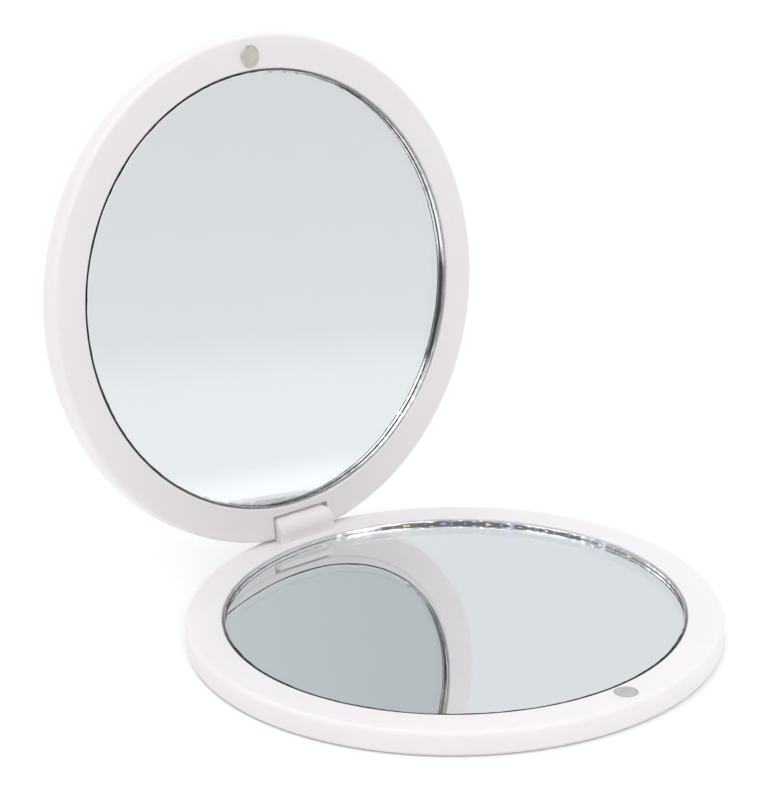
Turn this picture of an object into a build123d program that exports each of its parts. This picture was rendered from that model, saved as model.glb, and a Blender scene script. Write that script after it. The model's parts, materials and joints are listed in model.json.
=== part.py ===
"""Folding compact mirror, standing open.

Two round moulded halves are joined by one pinned hinge at the rear. Each half holds a glass
mirror in a recess and a disc magnet in its rim: the base's mirror is plain, and the lid's is
hollow and magnifies. The underside of the base lies on z = 0, the
base's centre line is the Z axis, and the hinge pin runs along X at the rear, towards +Y.
The lid is made where it stands when open, leaning back on its heel.
"""
from build123d import *

import os
from math import sqrt

# Driving dimensions, in mm
outer_radius = 35.0
base_thickness = 3.3
lid_thickness = 3.4
closed_gap = 0.15             # left between the two faces when the compact is shut
face_edge_radius = 0.65       # rounding between the side and the mirror face
back_edge_radius = 0.75       # rounding between the side and the outer face

recess_radius = 30.25
recess_lip = 0.22             # eased mouth of the recess
glass_radius = 30.0
glass_arris = 0.12
base_glass_thickness = 1.8
lid_glass_thickness = 1.5
lid_mirror_curve = 700.0      # radius of the lid mirror's hollow: it focuses at 350 mm
glass_setback = 0.15          # edge of the glass below the rim
silvering_thickness = 0.1
adhesive_radius = 28.5
adhesive_thickness = 0.2      # at its centre

magnet_radius = 1.5
magnet_thickness = 1.5
magnet_edge = 0.1
magnet_pitch_radius = 32.1    # from the centre of the half to the centre of the magnet
base_magnet_stand = -0.04     # top of the magnet from its rim, sunk in the base
lid_magnet_stand = 0.08       # and a little proud in the lid

hinge_y = 33.7
hinge_above_base = 1.0        # pin's centre above the base's rim
opening_angle = 97.4          # how far the lid opens before its heel meets the base
knuckle_radius = 2.2
knuckle_width = 9.1
knuckle_corner = 1.0          # rounded upper corners, seen from the front
knuckle_root = 1.2            # how deep the knuckle is rooted below the base's rim
notch_width = 9.4
notch_depth = 2.5             # from the pin's centre to the notch's inner wall
heel_radius = 0.92            # lid's heel, rounded about the pin
heel_width = 14.1             # of the relief that lets it turn
pin_radius = 0.5
pin_length = 12.4
pin_end_chamfer = 0.12
pin_running_clearance = 0.03

# Worked out from them
hinge_z = base_thickness + hinge_above_base
hinge_in_lid = base_thickness + closed_gap - hinge_z    # from the lid's face, when shut
mirror_backing = silvering_thickness + adhesive_thickness
clear_of_half = 2.0           # how far a cutting tool runs past the half

# Each half is made behind its own face plane: z out of the face, y towards the hinge
base_face = Plane(origin=(0, 0, base_thickness))
hinge_point = Vector(0, hinge_y, hinge_z)
shut_lid_centre = Vector(0, 0, base_thickness + closed_gap)
lid_face = Plane(
    origin=hinge_point + (shut_lid_centre - hinge_point).rotate(Axis.X, -opening_angle),
    x_dir=(-1, 0, 0),
    z_dir=Vector(0, 0, -1).rotate(Axis.X, -opening_angle),
)


def side_section(face):
    """The plane through the middle of a half, square to the pin: x towards the hinge."""
    return Plane(face.origin, x_dir=face.y_dir, z_dir=face.x_dir)


def save(builder, name):
    """Label a finished sub-part and write it."""
    builder.part.label = name
    export_step(builder.part, f"parts/{name}.step")


def rise(radius, curve):
    """How far a face that is hollow by a curve has risen at a radius; a curve of 0 is flat."""
    return curve - sqrt(curve**2 - radius**2) if curve else 0


base_glass_centre = -glass_setback
lid_glass_centre = -glass_setback - rise(glass_radius, lid_mirror_curve)
base_recess_depth = base_glass_thickness + mirror_backing - base_glass_centre
lid_recess_depth = lid_glass_thickness + mirror_backing - lid_glass_centre


def face_line(radius, height, curve):
    """Section of a layer's face from its centre outwards, straight or hollow."""
    end = (radius, height + rise(radius, curve))
    if curve:
        ThreePointArc((0, height), (radius / 2, height + rise(radius / 2, curve)), end)
    else:
        Line((0, height), end)


def round_layer(face, radius, top, bottom, top_curve=0, bottom_curve=0):
    """A round layer between two heights from the face, measured at its centre."""
    with BuildPart() as layer:
        with BuildSketch(side_section(face)):
            with BuildLine():
                face_line(radius, top, top_curve)
                Line((radius, top + rise(radius, top_curve)), (radius, bottom + rise(radius, bottom_curve)))
                face_line(radius, bottom, bottom_curve)
                Line((0, bottom), (0, top))
            make_face()
        revolve(axis=Axis(face.origin, face.z_dir))
    return layer.part


def outer_edges(builder):
    """The round edges of a disc."""
    return builder.edges().filter_by(GeomType.CIRCLE).filter_by(lambda edge: edge.is_closed)


def round_half(face, thickness, recess_depth, magnet_stand):
    """One moulded half: rounded disc with the mirror recess and the magnet pocket."""
    outwards = Axis(face.origin, face.z_dir)
    with BuildPart() as half:
        with BuildSketch(face):
            Circle(outer_radius)
        extrude(amount=-thickness)
        fillet(half.edges().filter_by(GeomType.CIRCLE).sort_by(outwards)[0], radius=back_edge_radius)
        fillet(half.edges().filter_by(GeomType.CIRCLE).sort_by(outwards)[-1], radius=face_edge_radius)
        with BuildSketch(face):
            Circle(recess_radius)
        extrude(amount=-recess_depth, mode=Mode.SUBTRACT)
        mouth = half.edges().filter_by(lambda edge: edge.is_closed and
                                       abs(edge.radius - recess_radius) < recess_lip)
        fillet(mouth.sort_by(outwards)[-1], radius=recess_lip)
        with BuildSketch(face):
            with Locations((0, -magnet_pitch_radius)):
                Circle(magnet_radius)
        extrude(amount=magnet_stand - magnet_thickness, mode=Mode.SUBTRACT)
    return half.part


def hinge_bore(radius, start, end):
    """A round tool along the pin's line, from one x to another."""
    with BuildPart() as bore:
        with BuildSketch(Plane.YZ.offset(start)):
            with Locations((hinge_y, hinge_z)):
                Circle(radius)
        extrude(amount=end - start)
    return bore.part


os.makedirs("parts", exist_ok=True)

# Knuckle: half barrel in front of the pin, flush with the base's outline behind it
with BuildPart() as knuckle:
    with BuildSketch(side_section(base_face)):
        with BuildLine():
            front_y = hinge_y - knuckle_radius
            top_z = hinge_above_base + knuckle_radius
            Line((front_y, -knuckle_root), (front_y, hinge_above_base))
            CenterArc((hinge_y, hinge_above_base), knuckle_radius, 90, 90)
            Line((hinge_y, top_z), (outer_radius, top_z))
            Line((outer_radius, top_z), (outer_radius, -knuckle_root))
            Line((outer_radius, -knuckle_root), (front_y, -knuckle_root))
        make_face()
        rear_top = vertices().group_by(Axis.Y)[-1].sort_by(Axis.X)[-1]
        fillet(rear_top, radius=knuckle_corner)
    extrude(amount=knuckle_width / 2, both=True)
    with BuildSketch(Plane.XZ):
        with Locations((0, hinge_z + knuckle_radius)):
            Rectangle(knuckle_width, 2 * hinge_z, align=(Align.CENTER, Align.MAX))
        fillet(vertices().group_by(Axis.Y)[-1], radius=knuckle_corner)
    extrude(amount=-2 * outer_radius, mode=Mode.INTERSECT)
    with BuildSketch(Plane.XY):
        Circle(outer_radius)
    extrude(amount=2 * hinge_z, mode=Mode.INTERSECT)

with BuildPart() as base_shell:
    add(round_half(base_face, base_thickness, base_recess_depth, base_magnet_stand))
    add(knuckle.part)
    add(hinge_bore(pin_radius + pin_running_clearance, -knuckle_width, knuckle_width),
        mode=Mode.SUBTRACT)
save(base_shell, "base_shell")

# The lid's notch goes round the knuckle, and its heel turns over the base's rim
with BuildPart() as lid_shell:
    add(round_half(lid_face, lid_thickness, lid_recess_depth, lid_magnet_stand))
    with BuildSketch(lid_face.offset(clear_of_half)):
        with Locations((0, hinge_y - notch_depth)):
            Rectangle(notch_width, outer_radius, align=(Align.CENTER, Align.MIN))
    extrude(amount=-lid_thickness - 2 * clear_of_half, mode=Mode.SUBTRACT)
    with BuildSketch(side_section(lid_face)):
        with Locations((hinge_y, clear_of_half)):
            Rectangle(clear_of_half, lid_thickness + 2 * clear_of_half, align=(Align.MIN, Align.MAX))
        with Locations((hinge_y, hinge_in_lid)):
            Circle(heel_radius, mode=Mode.SUBTRACT)
            Rectangle(heel_radius, outer_radius, align=(Align.MIN, Align.MAX), mode=Mode.SUBTRACT)
    extrude(amount=heel_width / 2, both=True, mode=Mode.SUBTRACT)
    add(hinge_bore(pin_radius, -pin_length / 2, notch_width), mode=Mode.SUBTRACT)
save(lid_shell, "lid_shell")

# Each half's mirror with its backing, and its magnet
for half, face, glass_centre, glass_thickness, curve, recess_depth, magnet_top in (
        ("base", base_face, base_glass_centre, base_glass_thickness, 0,
         base_recess_depth, base_magnet_stand),
        ("lid", lid_face, lid_glass_centre, lid_glass_thickness, lid_mirror_curve,
         lid_recess_depth, lid_magnet_stand)):
    silvering_top = glass_centre - glass_thickness
    adhesive_top = silvering_top - silvering_thickness

    with BuildPart() as mirror_glass:
        add(round_layer(face, glass_radius, glass_centre, silvering_top, curve, curve))
        chamfer(outer_edges(mirror_glass), length=glass_arris)
    save(mirror_glass, f"{half}_mirror_glass")

    with BuildPart() as mirror_silvering:
        add(round_layer(face, glass_radius - glass_arris, silvering_top, adhesive_top, curve, curve))
    save(mirror_silvering, f"{half}_mirror_silvering")

    with BuildPart() as mirror_adhesive:
        add(round_layer(face, adhesive_radius, adhesive_top, -recess_depth, curve, 0))
    save(mirror_adhesive, f"{half}_mirror_adhesive")

    magnet_face = Plane(face.from_local_coords((0, -magnet_pitch_radius, 0)), face.x_dir, face.z_dir)
    with BuildPart() as magnet:
        add(round_layer(magnet_face, magnet_radius, magnet_top, magnet_top - magnet_thickness))
        chamfer(outer_edges(magnet), length=magnet_edge)
    save(magnet, f"{half}_magnet")

# Steel pin, pressed in the lid's two ears and free to turn in the knuckle
with BuildPart() as hinge_pin:
    add(hinge_bore(pin_radius, -pin_length / 2, pin_length / 2))
    chamfer(hinge_pin.edges().filter_by(GeomType.CIRCLE), length=pin_end_chamfer)
save(hinge_pin, "hinge_pin")
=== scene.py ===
"""The looks of the folding compact mirror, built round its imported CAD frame.

Each half's pieces are modelled lying in their own face frame: z = 0 on the mirror face, +z out of
the face and +y towards the hinge. They are then put where the base or the opened lid has them.
"""

import json
from math import atan2, cos, hypot, pi, radians, sin, sqrt
from random import Random

import bmesh
import bpy
from mathutils import Matrix, Vector


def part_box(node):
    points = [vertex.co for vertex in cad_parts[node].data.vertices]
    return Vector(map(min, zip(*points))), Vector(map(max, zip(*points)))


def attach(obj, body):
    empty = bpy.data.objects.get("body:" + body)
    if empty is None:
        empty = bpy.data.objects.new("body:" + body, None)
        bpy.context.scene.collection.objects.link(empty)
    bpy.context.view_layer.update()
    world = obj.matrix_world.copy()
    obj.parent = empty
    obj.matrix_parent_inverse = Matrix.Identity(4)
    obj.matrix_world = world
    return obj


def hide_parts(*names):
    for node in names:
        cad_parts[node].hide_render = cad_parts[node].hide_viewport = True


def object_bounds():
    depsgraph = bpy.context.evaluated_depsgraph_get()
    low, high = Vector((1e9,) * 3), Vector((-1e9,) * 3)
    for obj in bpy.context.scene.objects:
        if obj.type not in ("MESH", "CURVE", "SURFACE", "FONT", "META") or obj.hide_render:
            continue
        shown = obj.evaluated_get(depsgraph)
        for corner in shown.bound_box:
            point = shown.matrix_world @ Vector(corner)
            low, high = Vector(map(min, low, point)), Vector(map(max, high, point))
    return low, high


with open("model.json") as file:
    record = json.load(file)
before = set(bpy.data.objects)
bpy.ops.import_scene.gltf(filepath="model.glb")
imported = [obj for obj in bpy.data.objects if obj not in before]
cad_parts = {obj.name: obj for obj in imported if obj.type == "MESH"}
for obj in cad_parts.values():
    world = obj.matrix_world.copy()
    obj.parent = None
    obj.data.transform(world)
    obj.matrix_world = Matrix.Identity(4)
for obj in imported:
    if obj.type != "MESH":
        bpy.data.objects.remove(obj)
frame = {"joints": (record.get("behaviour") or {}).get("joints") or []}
cad_low, cad_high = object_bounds()

mm = 0.001

# Sizes of the pieces, as they are made
case_radius = cad_high.x
base_thickness = 3.3 * mm
lid_thickness = 3.4 * mm
closed_gap = 0.15 * mm
face_edge_radius = 0.65 * mm
back_edge_radius = 0.75 * mm
recess_radius = 30.25 * mm
recess_lip = 0.22 * mm
glass_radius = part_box("base_mirror_glass")[1].x
glass_setback = 0.15 * mm
glass_thickness = {"base": 1.8 * mm, "lid": 1.5 * mm}
mirror_curve = {"base": 0, "lid": 700 * mm}     # hollow of each mirror, 0 where it is flat
glass_arris = 0.14 * mm
coat_clearance = 0.006 * mm
silvering_thickness = 0.1 * mm
adhesive_radius = 28.5 * mm
adhesive_thickness = 0.2 * mm
magnet_radius = 1.5 * mm
magnet_thickness = 1.5 * mm
magnet_pitch_radius = 32.1 * mm
magnet_edge_radius = 0.14 * mm
magnet_stand = {"base": -0.04 * mm, "lid": 0.08 * mm}     # how far each magnet stands out of its face
knuckle_radius = 2.2 * mm
knuckle_width = 9.1 * mm
knuckle_corner = 1.0 * mm
knuckle_root = 1.2 * mm
notch_width = 9.4 * mm
notch_depth = 2.5 * mm
heel_width = 14.1 * mm
heel_radius = 0.92 * mm
pin_radius = 0.5 * mm
pin_length = 12.4 * mm
pin_edge_radius = 0.12 * mm
pin_running_clearance = 0.03 * mm
fit_clearance = 0.01 * mm     # keeps touching skins of two pieces apart

# Wear of the glass edges: depths in millimetres, reaches in sides of the disc
chip_depths = (0.02, 0.09)
chip_reaches = (1, 1, 2, 3, 5)
chip_seed = {"base": 4, "lid": 9}

# How finely round shapes are cut, and how they are picked out
rim_sides = 288
small_sides = 64
hollow_rings = 24
flat_enough = 0.99            # upright share of the normal of a face that counts as level
near = 0.01 * mm              # how close counts as being at a place
near_ring = 0.03 * mm         # how close counts as being on a ring of many sides
past = 4 * mm                 # how far a cutting tool runs past the half


def rise(radius, curve):
    """How far a face that is hollow by a curve has risen at a radius; a curve of 0 is flat."""
    return curve - sqrt(curve**2 - radius**2) if curve else 0


# Where each mirror's layers begin, at their centres, down from the face
glass_centre = {half: -glass_setback - rise(glass_radius, curve) for half, curve in mirror_curve.items()}
silvering_top = {half: centre - glass_thickness[half] for half, centre in glass_centre.items()}
adhesive_top = {half: top - silvering_thickness for half, top in silvering_top.items()}
recess_depth = {half: adhesive_thickness - top for half, top in adhesive_top.items()}

# Where the two halves are
hinge_joint = frame["joints"][0]
hinge = Vector(hinge_joint["pos_m"])
opening = radians(-hinge_joint["range_deg"][0])
hinge_above_base = hinge.z - base_thickness
hinge_in_lid = base_thickness + closed_gap - hinge.z
half_places = {
    "base": Matrix.Translation((0, 0, base_thickness)),
    "lid": (Matrix.Translation(hinge) @ Matrix.Rotation(-opening, 4, "X")
            @ Matrix.Translation(Vector((0, 0, base_thickness + closed_gap)) - hinge)
            @ Matrix.Rotation(pi, 4, "Y")),
}

# The glass, and the colours of its edge: the polished part, and the painted shade on its back part, once
# round from the catch
glass_index = 1.52
edge_roughness = 0.1
polished_color = (0.95, 0.97, 1.0)
edge_painted_shade = {
    "base": [(0.54, (0.85, 0.88, 0.90)), (0.56, (0.03, 0.035, 0.05)), (0.71, (0.03, 0.035, 0.05)),
             (0.73, polished_color)],
    "lid": [(0.24, (0.85, 0.88, 0.90)), (0.26, (0.03, 0.04, 0.07)), (0.33, (0.03, 0.04, 0.07)),
            (0.35, polished_color)],
}

# The painted glints in the edge, glowing by emission: their colours, and where they are, once round from
# the catch
black = (0.0, 0.0, 0.0)
white = (1.0, 1.0, 1.0)
glint_colors = [(0.42, (0.35, 0.55, 1.0)), (0.50, white), (0.58, (1.0, 0.72, 0.25))]
glint_strength = 0.9
glint_stretch = {
    "base": [(0.48, black), (0.54, white), (0.76, white), (0.79, black)],
    "lid": [(0.34, black), (0.36, white), (0.40, white), (0.42, black)],
}

# Camera: where it stands, how it is turned in degrees, and its lens and frame in millimetres
camera_place = Vector((-188.9, -224.6, 138.1)) * mm
camera_heading = 38.27
camera_dip = 19.84
camera_roll = -1.11
camera_lens = 111.06
camera_frame = 36

# The floor: a plane with shades that run across it, over a reach from the middle
floor_size = 6
floor_heading = 51.7
floor_reach = 0.4
floor_colors = [(0.19, (0.985, 0.985, 0.985)), (0.27, (0.84, 0.85, 0.855)),
                (0.58, (0.84, 0.85, 0.855)), (0.80, (0.775, 0.77, 0.77))]

# The room, from -Y to +Y, and what is laid over it: where each begins and is full, and its colour
room_colors = [(0.0, (0.61, 0.645, 0.66)), (1.0, (0.84, 0.87, 0.89))]
room_layers = [("Z", 0.22, 0.06, (0.87, 0.87, 0.87)), ("X", 0.2, -0.4, (0.66, 0.65, 0.65))]
ceiling_layer = ("Z", 0.62, 0.78, (1.12, 1.14, 1.17))

# Round patches of the room: heading and tilt in degrees, nearness where each begins and is full
dark_corner = (222, 12, 0.90, 0.96, (0.30, 0.30, 0.31))
side_box = (275, 20, 0.95, 0.975, (1.5, 1.52, 1.55))
front_box = (184, 33, 0.92, 0.96, (2.1, 2.08, 2.08))

# The lamp over the back
lamp_place = (-0.12, 0.10, 0.75)
lamp_size = 0.5
lamp_energy = 1.0


# ---- Modelling by hand -------------------------------------------------------------------------

def ready():
    """Object mode, with nothing selected."""
    if bpy.context.mode != "OBJECT":
        bpy.ops.object.mode_set(mode="OBJECT")
    bpy.ops.object.select_all(action="DESELECT")


def take(piece):
    """Make a piece the one that operators act on."""
    ready()
    bpy.context.view_layer.objects.active = piece
    piece.select_set(True)


def pick(piece, kind, wanted):
    """In edit mode, select just the corners, edges or faces that are wanted."""
    if bpy.context.mode != "EDIT_MESH":
        take(piece)
        bpy.ops.object.mode_set(mode="EDIT")
    bpy.ops.mesh.select_mode(type=kind)
    bpy.ops.mesh.select_all(action="DESELECT")
    shape = bmesh.from_edit_mesh(piece.data)
    items = {"VERT": shape.verts, "EDGE": shape.edges, "FACE": shape.faces}[kind]
    for item in items:
        if wanted(item):
            item.select_set(True)
    shape.select_flush_mode()
    bmesh.update_edit_mesh(piece.data)


def on_ring(radius, height):
    """Says whether an edge lies on a ring round the Z axis, at a height."""
    return lambda edge: all(abs(hypot(v.co.x, v.co.y) - radius) < near_ring and
                            abs(v.co.z - height) < near_ring for v in edge.verts)


def along_x(y, z):
    """Says whether an edge runs along X at a place."""
    return lambda edge: all(abs(v.co.y - y) < near and abs(v.co.z - z) < near for v in edge.verts)


def looks_out(face):
    """Says whether a face is level and looks out of the half's face."""
    return face.normal.z > flat_enough


def looks_either_way(face):
    """Says whether a face is level, whichever way it looks."""
    return abs(face.normal.z) > flat_enough


def bevel_edges(piece, wanted, width, segments):
    """Round or ease the wanted edges of a piece."""
    pick(piece, "EDGE", wanted)
    bpy.ops.mesh.bevel(offset=width, segments=segments, affect="EDGES", clamp_overlap=False)


def drum(name, sides, radius, low, high, x=0.0, y=0.0):
    """A round blank standing on Z, from one height to another."""
    ready()
    bpy.ops.mesh.primitive_cylinder_add(vertices=sides, radius=radius, depth=high - low,
                                        location=(x, y, (low + high) / 2))
    piece = bpy.context.object
    piece.name = name
    take(piece)
    bpy.ops.object.transform_apply()
    return piece


def rod(name, sides, radius, start, end, y, z):
    """A round blank lying along X, from one place to another."""
    ready()
    bpy.ops.mesh.primitive_cylinder_add(vertices=sides, radius=radius, depth=end - start,
                                        location=((start + end) / 2, y, z),
                                        rotation=(0, pi / 2, 0))
    piece = bpy.context.object
    piece.name = name
    take(piece)
    bpy.ops.object.transform_apply()
    return piece


def block(name, low, high):
    """A square blank between two corners."""
    ready()
    low, high = Vector(low), Vector(high)
    bpy.ops.mesh.primitive_cube_add(size=1, location=(low + high) / 2, scale=high - low)
    piece = bpy.context.object
    piece.name = name
    take(piece)
    bpy.ops.object.transform_apply()
    return piece


def combine(piece, tool, operation):
    """Join, cut or trim a piece with a tool, which is used up."""
    take(piece)
    change = piece.modifiers.new(operation, "BOOLEAN")
    change.operation = operation
    change.solver = "EXACT"
    change.object = tool
    bpy.ops.object.modifier_apply(modifier=change.name)
    bpy.data.objects.remove(tool)


def smooth(piece, angle=40):
    """Smooth shading up to an angle, with flat faces kept flat."""
    take(piece)
    bpy.ops.object.shade_smooth_by_angle(angle=radians(angle))
    even = piece.modifiers.new("even", "WEIGHTED_NORMAL")
    even.keep_sharp = True
    bpy.ops.object.modifier_apply(modifier=even.name)


def settle(piece, half, slot, *nodes):
    """Put a finished piece where its half has it, tie it to its body, and hide the CAD nodes it stands
    in for.
    """
    piece.matrix_world = half_places[half] @ piece.matrix_world
    take(piece)
    bpy.ops.object.transform_apply()
    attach(piece, half)
    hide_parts(*nodes)
    ready()
    return piece


# ---- Finishes ----------------------------------------------------------------------------------

def finish_start(name):
    """A new material, with its nodes and links."""
    material = bpy.data.materials.new(name)
    material.use_nodes = True
    return material, material.node_tree.nodes, material.node_tree.links


def grain(nodes, links, place, scale, detail=2.0):
    """A noise pattern fixed to the piece."""
    noise = nodes.new("ShaderNodeTexNoise")
    noise.inputs["Scale"].default_value = scale
    noise.inputs["Detail"].default_value = detail
    links.new(place, noise.inputs["Vector"])
    return noise.outputs["Fac"]


def shades(nodes, links, value, stops):
    """Colours along a value, from (place, colour) stops."""
    ramp = nodes.new("ShaderNodeValToRGB")
    elements = ramp.color_ramp.elements
    while len(elements) < len(stops):
        elements.new(0.5)
    for element, (place, color) in zip(elements, stops, strict=True):
        element.position = place
        element.color = (*color, 1)
    links.new(value, ramp.inputs["Fac"])
    return ramp.outputs["Color"]


def spread(nodes, links, value, low, high, start=0.3, end=0.7):
    """A value between two limits."""
    scale = nodes.new("ShaderNodeMapRange")
    scale.inputs["From Min"].default_value = start
    scale.inputs["From Max"].default_value = end
    scale.inputs["To Min"].default_value = low
    scale.inputs["To Max"].default_value = high
    links.new(value, scale.inputs["Value"])
    return scale.outputs["Result"]


def relief(nodes, links, height, depth, onto=None):
    """A bump of real depth, on top of another bump if there is one."""
    bump = nodes.new("ShaderNodeBump")
    bump.inputs["Distance"].default_value = depth
    bump.inputs["Strength"].default_value = 1.0
    links.new(height, bump.inputs["Height"])
    if onto:
        links.new(onto, bump.inputs["Normal"])
    return bump.outputs["Normal"]


def own_place(nodes):
    """A place on the piece, in the piece's own coordinates."""
    return nodes.new("ShaderNodeTexCoord").outputs["Object"]


def white_plastic():
    """White moulded plastic: satin, a little translucent, with faint flow and mould texture."""
    material, nodes, links = finish_start("white_moulded_plastic")
    shader = nodes["Principled BSDF"]
    place = own_place(nodes)
    flow = grain(nodes, links, place, 90, 3)
    fine = grain(nodes, links, place, 2600, 2)
    color = shades(nodes, links, flow, [(0.3, (0.835, 0.795, 0.808)), (0.7, (0.85, 0.811, 0.824))])
    links.new(color, shader.inputs["Base Color"])
    links.new(spread(nodes, links, fine, 0.36, 0.46), shader.inputs["Roughness"])
    waves = relief(nodes, links, flow, 0.012 * mm)
    links.new(relief(nodes, links, fine, 0.0015 * mm, waves), shader.inputs["Normal"])
    shader.inputs["IOR"].default_value = 1.46
    shader.inputs["Subsurface Weight"].default_value = 0.35
    shader.inputs["Subsurface Radius"].default_value = (1.0, 0.85, 0.8)
    shader.inputs["Subsurface Scale"].default_value = 1.2 * mm
    return material


def clear_glass():
    """Polished front of the mirror, with the faintest smears."""
    material, nodes, links = finish_start("clear_glass")
    shader = nodes["Principled BSDF"]
    smears = grain(nodes, links, own_place(nodes), 60, 4)
    links.new(spread(nodes, links, smears, 0.0, 0.006, 0.5, 0.8), shader.inputs["Roughness"])
    shader.inputs["Base Color"].default_value = (0.985, 0.995, 0.992, 1)
    shader.inputs["Transmission Weight"].default_value = 1.0
    shader.inputs["IOR"].default_value = glass_index
    return material


def face_place(nodes, links, half):
    """X, Y and Z as measured on a half lying face up, its catch magnet towards -Y."""
    back_to_face = half_places[half].inverted()
    turn = nodes.new("ShaderNodeMapping")
    turn.inputs["Location"].default_value = back_to_face.to_translation()
    turn.inputs["Rotation"].default_value = back_to_face.to_euler()
    links.new(own_place(nodes), turn.inputs["Vector"])
    split = nodes.new("ShaderNodeSeparateXYZ")
    links.new(turn.outputs["Vector"], split.inputs["Vector"])
    return split.outputs["X"], split.outputs["Y"], split.outputs["Z"]


def sum_of(nodes, links, one, other):
    """Two values added together."""
    total = nodes.new("ShaderNodeMath")
    total.operation = "ADD"
    links.new(one, total.inputs[0])
    links.new(other, total.inputs[1])
    return total.outputs["Value"]


def laid_over(nodes, links, amount, under, over):
    """One colour laid over another where an amount is 1; each is plain or varies."""
    mix = nodes.new("ShaderNodeMix")
    mix.data_type = "RGBA"
    links.new(amount, mix.inputs["Factor"])
    for layer, color in (("A", under), ("B", over)):
        if isinstance(color, tuple):
            mix.inputs[layer].default_value = (*color, 1)
        else:
            links.new(color, mix.inputs[layer])
    return mix.outputs["Result"]


def glass_edge_with_painted_light(half):
    """Edge of the mirror: polished clear glass, with painted shade darkening its back in one stretch,
    and painted glints that glow there like small bright chips.
    """
    material, nodes, links = finish_start(f"glass_edge_painted_light_{half}")
    shader = nodes["Principled BSDF"]
    place = own_place(nodes)
    x, y, z = face_place(nodes, links, half)

    # Once round the edge from the catch, and where the painted shade on the back of the edge begins
    angle = nodes.new("ShaderNodeMath")
    angle.operation = "ARCTAN2"
    links.new(x, angle.inputs[0])
    links.new(y, angle.inputs[1])
    along = spread(nodes, links, angle.outputs["Value"], 0, 1, -pi, pi)
    ragged = spread(nodes, links, grain(nodes, links, place, 350, 2), -0.25 * mm, 0.25 * mm)
    rim_top = glass_centre[half] + rise(glass_radius, mirror_curve[half])
    start = rim_top - 0.4 * glass_thickness[half]
    height = sum_of(nodes, links, z, ragged)
    shaded_back = spread(nodes, links, height, 0, 1, start + 0.1 * mm, start - 0.1 * mm)

    # Clear where it is pale, and solid where the painted shade makes it dark
    edge_shade_along = shades(nodes, links, along, edge_painted_shade[half])
    color = laid_over(nodes, links, shaded_back, polished_color, edge_shade_along)
    links.new(color, shader.inputs["Base Color"])
    links.new(spread(nodes, links, color, 0, 1, 0.1, 0.6), shader.inputs["Transmission Weight"])

    # Painted glints: specks that glow by emission in one stretch, standing in for chips that catch light
    painted_glint_specks = spread(nodes, links, grain(nodes, links, place, 1100, 1), 0, glint_strength, 0.60, 0.64)
    glints = shades(nodes, links, grain(nodes, links, place, 420, 1), glint_colors)
    seen = shades(nodes, links, along, glint_stretch[half])
    links.new(laid_over(nodes, links, seen, black, glints), shader.inputs["Emission Color"])
    links.new(painted_glint_specks, shader.inputs["Emission Strength"])

    # Small chips in the surface, as bumps
    chips = grain(nodes, links, place, 900, 3)
    links.new(relief(nodes, links, chips, 0.03 * mm), shader.inputs["Normal"])
    shader.inputs["Roughness"].default_value = edge_roughness
    shader.inputs["IOR"].default_value = glass_index
    return material


def silver_coat(half):
    """Silver on the back of the glass, with painted shade darkening it right at the edge."""
    material, nodes, links = finish_start(f"silver_coat_{half}")
    shader = nodes["Principled BSDF"]
    x, y, _ = face_place(nodes, links, half)
    across = nodes.new("ShaderNodeCombineXYZ")
    links.new(x, across.inputs["X"])
    links.new(y, across.inputs["Y"])
    out = nodes.new("ShaderNodeVectorMath")
    out.operation = "LENGTH"
    links.new(across.outputs["Vector"], out.inputs[0])
    patches = grain(nodes, links, own_place(nodes), 700, 3)
    ragged = spread(nodes, links, patches, -0.25 * mm, 0.25 * mm)
    distance = sum_of(nodes, links, out.outputs["Value"], ragged)
    # Painted shade: the silver goes dark towards its outer edge, for the shaded gap round the glass
    rim = spread(nodes, links, distance, 0, 1, glass_radius - 0.6 * mm, glass_radius)
    color = shades(nodes, links, rim, [(0.0, (0.868, 0.880, 0.886)), (0.6, (0.84, 0.85, 0.86)),
                                       (1.0, (0.45, 0.48, 0.50))])
    links.new(color, shader.inputs["Base Color"])
    haze = grain(nodes, links, own_place(nodes), 300, 3)
    links.new(spread(nodes, links, haze, 0.0, 0.004, 0.5, 0.8), shader.inputs["Roughness"])
    shader.inputs["Metallic"].default_value = 1.0
    return material


def backing_paint():
    """Paint on the back of the silvering."""
    material, nodes, links = finish_start("mirror_backing_paint")
    shader = nodes["Principled BSDF"]
    place = own_place(nodes)
    mottle = grain(nodes, links, place, 700, 4)
    color = shades(nodes, links, mottle, [(0.3, (0.16, 0.17, 0.18)), (0.7, (0.24, 0.25, 0.26))])
    links.new(color, shader.inputs["Base Color"])
    links.new(spread(nodes, links, mottle, 0.55, 0.75), shader.inputs["Roughness"])
    return material


def adhesive_film():
    """Double-sided film that holds the mirror down."""
    material, nodes, links = finish_start("adhesive_film")
    shader = nodes["Principled BSDF"]
    place = own_place(nodes)
    bubbles = grain(nodes, links, place, 900, 2)
    color = shades(nodes, links, bubbles, [(0.3, (0.62, 0.61, 0.57)), (0.7, (0.74, 0.73, 0.70))])
    links.new(color, shader.inputs["Base Color"])
    links.new(spread(nodes, links, bubbles, 0.6, 0.8), shader.inputs["Roughness"])
    return material


def nickel_plate():
    """Dull nickel plating with fine scuffs."""
    material, nodes, links = finish_start("nickel_plate")
    shader = nodes["Principled BSDF"]
    place = own_place(nodes)
    scuffs = grain(nodes, links, place, 5200, 4)
    stain = grain(nodes, links, place, 900, 2)
    color = shades(nodes, links, stain, [(0.35, (0.60, 0.565, 0.51)), (0.65, (0.70, 0.66, 0.60))])
    links.new(color, shader.inputs["Base Color"])
    links.new(spread(nodes, links, scuffs, 0.18, 0.34), shader.inputs["Roughness"])
    links.new(relief(nodes, links, scuffs, 0.002 * mm), shader.inputs["Normal"])
    shader.inputs["Metallic"].default_value = 1.0
    return material


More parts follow.
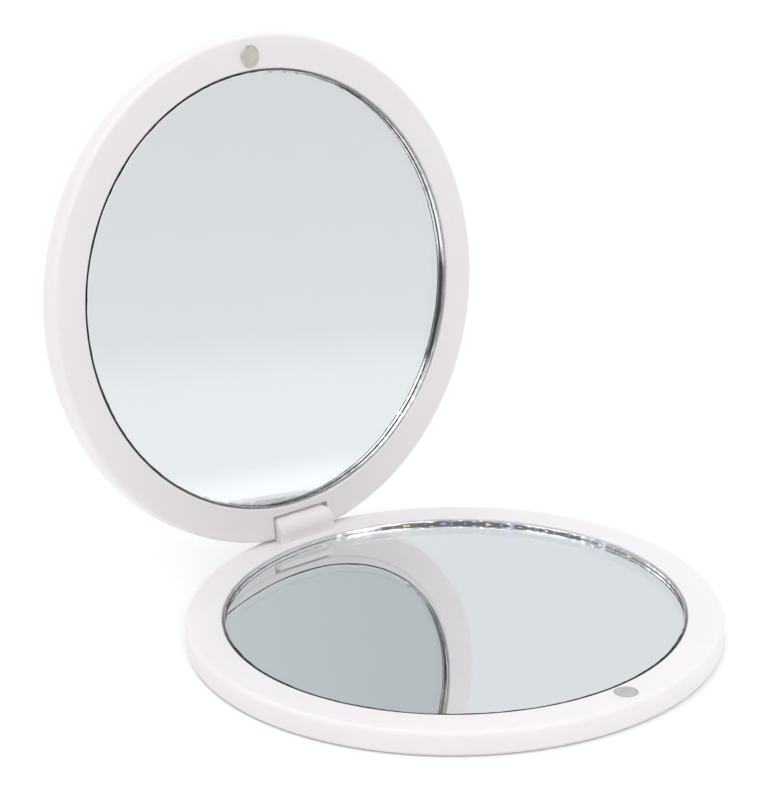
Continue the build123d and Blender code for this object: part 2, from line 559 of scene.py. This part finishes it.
def drawn_steel():
    """Steel wire, with drawing lines along it."""
    material, nodes, links = finish_start("drawn_steel")
    shader = nodes["Principled BSDF"]
    stretch = nodes.new("ShaderNodeMapping")
    stretch.inputs["Scale"].default_value = (0.05, 1, 1)
    links.new(own_place(nodes), stretch.inputs["Vector"])
    lines = grain(nodes, links, stretch.outputs["Vector"], 6000, 3)
    color = shades(nodes, links, lines, [(0.3, (0.45, 0.45, 0.46)), (0.7, (0.60, 0.60, 0.60))])
    links.new(color, shader.inputs["Base Color"])
    links.new(spread(nodes, links, lines, 0.25, 0.4), shader.inputs["Roughness"])
    shader.inputs["Metallic"].default_value = 1.0
    return material


# ---- The pieces --------------------------------------------------------------------------------

def round_half(half, thickness):
    """One moulded half: rounded disc with the mirror recess and the magnet pocket."""
    moulding = drum(f"{half}_moulding", rim_sides, case_radius, -thickness, 0)
    pick(moulding, "FACE", looks_out)
    bpy.ops.mesh.inset(thickness=case_radius - recess_radius)
    bpy.ops.mesh.extrude_region_move(TRANSFORM_OT_translate={"value": (0, 0, -recess_depth[half])})
    bevel_edges(moulding, on_ring(case_radius, 0), face_edge_radius, segments=7)
    bevel_edges(moulding, on_ring(case_radius, -thickness), back_edge_radius, segments=7)
    bevel_edges(moulding, on_ring(recess_radius, 0), recess_lip, segments=4)
    ready()
    pocket_floor = magnet_stand[half] - magnet_thickness
    pocket = drum("pocket", small_sides, magnet_radius, pocket_floor, past, y=-magnet_pitch_radius)
    combine(moulding, pocket, "DIFFERENCE")
    return moulding


def finish_moulding(moulding, half, plastic):
    """The plastic's surface on a finished moulding, put where its half is."""
    moulding.data.materials.clear()
    moulding.data.materials.append(plastic)
    smooth(moulding)
    settle(moulding, half, "moulded_plastic", f"{half}_shell")


def make_knuckle():
    """The base's hinge knuckle: a half barrel with rounded corners, bored for the pin."""
    front = hinge.y - knuckle_radius
    top = hinge_above_base + knuckle_radius
    knuckle = block("knuckle", (-knuckle_width, front, -knuckle_root),
                    (knuckle_width, case_radius, top))
    bevel_edges(knuckle, along_x(front, top), knuckle_radius, segments=18)
    bevel_edges(knuckle, along_x(case_radius, top), knuckle_corner, segments=8)
    ready()

    half_width = knuckle_width / 2
    outline = block("outline", (-half_width, 0, -past),
                    (half_width, case_radius + past, top - fit_clearance))

    def runs_along_a_side(edge):
        ends = edge.verts
        return (all(abs(abs(v.co.x) - half_width) < near and v.co.z > top - 2 * fit_clearance
                    for v in ends) and abs(ends[0].co.x - ends[1].co.x) < near)

    bevel_edges(outline, runs_along_a_side, knuckle_corner, segments=10)
    ready()
    combine(knuckle, outline, "INTERSECT")
    combine(knuckle, drum("rim", rim_sides, case_radius, -past, 2 * past), "INTERSECT")
    bore = rod("bore", small_sides, pin_radius + pin_running_clearance, -knuckle_width, knuckle_width,
               hinge.y, hinge_above_base)
    combine(knuckle, bore, "DIFFERENCE")
    return knuckle


def make_base_moulding(plastic):
    """The half that lies down, with the hinge knuckle on its rim."""
    moulding = round_half("base", base_thickness)
    combine(moulding, make_knuckle(), "UNION")
    finish_moulding(moulding, "base", plastic)


def make_heel_tool():
    """What the lid's heel loses, so that it turns over the base's rim: all outside a round heel."""
    half_width = heel_width / 2
    tool = block("heel", (-half_width, hinge.y, -lid_thickness - past),
                 (half_width, hinge.y + past, past))
    heel = rod("heel_round", small_sides * 2, heel_radius, -heel_width, heel_width,
               hinge.y, hinge_in_lid)
    combine(tool, heel, "DIFFERENCE")
    side = block("heel_side", (-heel_width, hinge.y - past, -lid_thickness - 2 * past),
                 (heel_width, hinge.y + heel_radius, hinge_in_lid))
    combine(tool, side, "DIFFERENCE")
    return tool


def make_lid_moulding(plastic):
    """The half that stands up, notched round the knuckle and bored for the pin."""
    moulding = round_half("lid", lid_thickness)
    half_notch = notch_width / 2
    notch = block("notch", (-half_notch, hinge.y - notch_depth, -lid_thickness - past),
                  (half_notch, case_radius + past, past))
    combine(moulding, notch, "DIFFERENCE")
    combine(moulding, make_heel_tool(), "DIFFERENCE")
    bore = rod("bore", small_sides, pin_radius, -notch_width, pin_length / 2, hinge.y, hinge_in_lid)
    combine(moulding, bore, "DIFFERENCE")
    finish_moulding(moulding, "lid", plastic)


def hollow(layer, curve, radius, flat_side):
    """Ring a round layer's flat sides finely and lift them to a hollow curve."""
    if not curve:
        return
    pick(layer, "FACE", flat_side)
    bpy.ops.mesh.inset(thickness=radius / (4 * hollow_rings))
    for _ in range(hollow_rings - 1):
        bpy.ops.mesh.inset(thickness=radius / hollow_rings)
    ready()
    heights = [vertex.co.z for vertex in layer.data.vertices]
    middle = (min(heights) + max(heights)) / 2
    for vertex in layer.data.vertices:
        if vertex.co.z > middle or flat_side is looks_either_way:
            vertex.co.z += rise(hypot(vertex.co.x, vertex.co.y), curve)


def chip_edge(glass, half, middle, sides):
    """Wear the glass's edge unevenly, more at the front than at the back."""
    chance = Random(chip_seed[half])
    wear = [0.0] * sides
    for _ in range(sides // 6):
        centre = chance.randrange(sides)
        reach = chance.choice(chip_reaches)
        bite = chance.uniform(*chip_depths) * mm
        for step in range(-reach, reach + 1):
            spot = (centre + step) % sides
            wear[spot] = max(wear[spot], bite * (1 - abs(step) / (reach + 1)))
    for vertex in glass.data.vertices:
        out = hypot(vertex.co.x, vertex.co.y)
        if out < glass_radius - 2 * glass_arris:
            continue
        around = round(atan2(vertex.co.y, vertex.co.x) / (2 * pi) * sides) % sides
        share = 1.0 if vertex.co.z > middle else 0.5
        vertex.co.x *= 1 - wear[around] * share / out
        vertex.co.y *= 1 - wear[around] * share / out


def make_mirror_glass(half, clear, edge, coat):
    """A glass disc with a slightly chipped edge and its silvered back face."""
    top = glass_centre[half]
    bottom = silvering_top[half] + coat_clearance
    sides = 2 * rim_sides
    glass = drum(f"{half}_glass", sides, glass_radius, bottom, top)
    bevel_edges(glass, on_ring(glass_radius, top), glass_arris, segments=2)
    bevel_edges(glass, on_ring(glass_radius, bottom), glass_arris, segments=2)
    ready()
    glass.data.materials.clear()
    for finish in (clear, edge, coat):
        glass.data.materials.append(finish)
    for face in glass.data.polygons:
        face.material_index = 1
        if looks_either_way(face):
            face.material_index = 0 if looks_out(face) else 2
    hollow(glass, mirror_curve[half], glass_radius - glass_arris, looks_either_way)
    middle = (top + bottom) / 2 + rise(glass_radius, mirror_curve[half])
    chip_edge(glass, half, middle, sides)
    take(glass)
    bpy.ops.object.shade_smooth_by_angle(angle=radians(15))
    settle(glass, half, "mirror_glass", f"{half}_mirror_glass")


def make_silvering(half, paint):
    """The painted silver layer behind the glass."""
    top = silvering_top[half]
    radius = glass_radius - glass_arris
    layer = drum(f"{half}_silvering", rim_sides, radius, adhesive_top[half] + fit_clearance, top)
    bevel_edges(layer, on_ring(radius, top), silvering_thickness / 4, segments=1)
    ready()
    layer.data.materials.append(paint)
    hollow(layer, mirror_curve[half], radius, looks_either_way)
    smooth(layer)
    settle(layer, half, "silvering", f"{half}_mirror_silvering")


def make_adhesive(half, film):
    """The film that holds the mirror down, thicker at the rim where the mirror is hollow."""
    top = adhesive_top[half]
    bottom = fit_clearance - recess_depth[half]
    layer = drum(f"{half}_adhesive", rim_sides, adhesive_radius, bottom, top)
    bevel_edges(layer, on_ring(adhesive_radius, top), adhesive_thickness / 4, segments=1)
    ready()
    layer.data.materials.append(film)
    hollow(layer, mirror_curve[half], adhesive_radius, looks_out)
    smooth(layer)
    settle(layer, half, "adhesive", f"{half}_mirror_adhesive")


def make_magnet(half, plate):
    """A plated disc magnet with tumbled edges, in its pocket in the rim."""
    radius = magnet_radius - fit_clearance
    top = magnet_stand[half]
    bottom = top - magnet_thickness + fit_clearance
    magnet = drum(f"{half}_disc_magnet", small_sides, radius, bottom, top)
    bevel_edges(magnet, on_ring(radius, top), magnet_edge_radius, segments=4)
    bevel_edges(magnet, on_ring(radius, bottom), magnet_edge_radius, segments=2)
    ready()
    for vertex in magnet.data.vertices:
        vertex.co.y -= magnet_pitch_radius
    magnet.data.materials.append(plate)
    smooth(magnet)
    settle(magnet, half, "nickel_magnet", f"{half}_magnet")


def make_pin(steel):
    """The hinge pin, with cropped and rounded ends."""
    radius = pin_radius - fit_clearance
    end = pin_length / 2
    pin = rod("pin", small_sides // 2, radius, -end, end, hinge.y, hinge_in_lid)
    bevel_edges(pin, lambda edge: all(abs(abs(v.co.x) - end) < near for v in edge.verts),
                pin_edge_radius, segments=3)
    ready()
    pin.data.materials.append(steel)
    smooth(pin)
    settle(pin, "lid", "pin_steel", "hinge_pin")


# ---- Camera, floor and light -------------------------------------------------------------------

def place_camera():
    """The camera, level with its heading, then dipped and rolled."""
    data = bpy.data.cameras.new("camera")
    data.lens = camera_lens
    data.sensor_width = camera_frame
    data.clip_start = 0.01
    camera = bpy.data.objects.new("camera", data)
    camera.location = camera_place
    turn = (Matrix.Rotation(-radians(camera_heading), 3, "Z")
            @ Matrix.Rotation(pi / 2 - radians(camera_dip), 3, "X")
            @ Matrix.Rotation(radians(camera_roll), 3, "Z"))
    camera.rotation_euler = turn.to_euler()
    bpy.context.scene.collection.objects.link(camera)
    bpy.context.scene.camera = camera


def make_floor():
    """A white sheet that runs into slightly greyer ones on one side."""
    ready()
    bpy.ops.mesh.primitive_plane_add(size=floor_size)
    floor = bpy.context.object
    floor.name = "floor"
    material, nodes, links = finish_start("pale_floor")
    shader = nodes["Principled BSDF"]
    turn = nodes.new("ShaderNodeMapping")
    turn.inputs["Rotation"].default_value = (0, 0, radians(floor_heading))
    links.new(own_place(nodes), turn.inputs["Vector"])
    split = nodes.new("ShaderNodeSeparateXYZ")
    links.new(turn.outputs["Vector"], split.inputs["Vector"])
    fade = spread(nodes, links, split.outputs["X"], 0, 1, 0, floor_reach)
    color = shades(nodes, links, fade, floor_colors)
    links.new(color, shader.inputs["Base Color"])
    shader.inputs["Roughness"].default_value = 0.9
    shader.inputs["Specular IOR Level"].default_value = 0.1
    floor.data.materials.append(material)


def toward(nodes, links, way, heading, tilt, start, end):
    """From 0 to 1 as a direction comes nearer to a heading and a tilt, both in degrees."""
    aim = Vector((sin(radians(heading)), cos(radians(heading)), 0)) * cos(radians(tilt))
    near_it = nodes.new("ShaderNodeVectorMath")
    near_it.operation = "DOT_PRODUCT"
    near_it.inputs[1].default_value = (aim.x, aim.y, sin(radians(tilt)))
    links.new(way, near_it.inputs[0])
    return spread(nodes, links, near_it.outputs["Value"], 0, 1, start, end)


def make_room():
    """A pale room with a darker corner, two soft boxes and a bright ceiling."""
    world = bpy.data.worlds.new("studio")
    world.use_nodes = True
    nodes, links = world.node_tree.nodes, world.node_tree.links
    sky = nodes["Background"]
    way = nodes.new("ShaderNodeTexCoord").outputs["Generated"]
    split = nodes.new("ShaderNodeSeparateXYZ")
    links.new(way, split.inputs["Vector"])

    def layer(room, axis, start, end, color):
        return laid_over(nodes, links, spread(nodes, links, split.outputs[axis], 0, 1, start, end),
                         room, color)

    room = shades(nodes, links, spread(nodes, links, split.outputs["Y"], 0, 1, -0.8, 0.8), room_colors)
    for wide in room_layers:
        room = layer(room, *wide)
    for heading, tilt, start, end, color in (dark_corner, side_box, front_box):
        room = laid_over(nodes, links, toward(nodes, links, way, heading, tilt, start, end), room, color)
    room = layer(room, *ceiling_layer)
    links.new(room, sky.inputs["Color"])
    sky.inputs["Strength"].default_value = 1.0
    bpy.context.scene.world = world


def hang_lamp():
    """A round soft lamp, turned to the middle of the floor."""
    light = bpy.data.lights.new("soft_box", "AREA")
    light.shape = "DISK"
    light.size = lamp_size
    light.energy = lamp_energy
    lamp = bpy.data.objects.new("soft_box", light)
    lamp.location = lamp_place
    lamp.rotation_euler = (-lamp.location).to_track_quat("-Z", "Y").to_euler()
    bpy.context.scene.collection.objects.link(lamp)


place_camera()
make_floor()
make_room()
hang_lamp()
bpy.context.scene.view_settings.view_transform = "Standard"

plastic = white_plastic()
make_base_moulding(plastic)
make_lid_moulding(plastic)
clear, paint, film, plate = clear_glass(), backing_paint(), adhesive_film(), nickel_plate()
for half in half_places:
    make_mirror_glass(half, clear, glass_edge_with_painted_light(half), silver_coat(half))
    make_silvering(half, paint)
    make_adhesive(half, film)
    make_magnet(half, plate)
make_pin(drawn_steel())
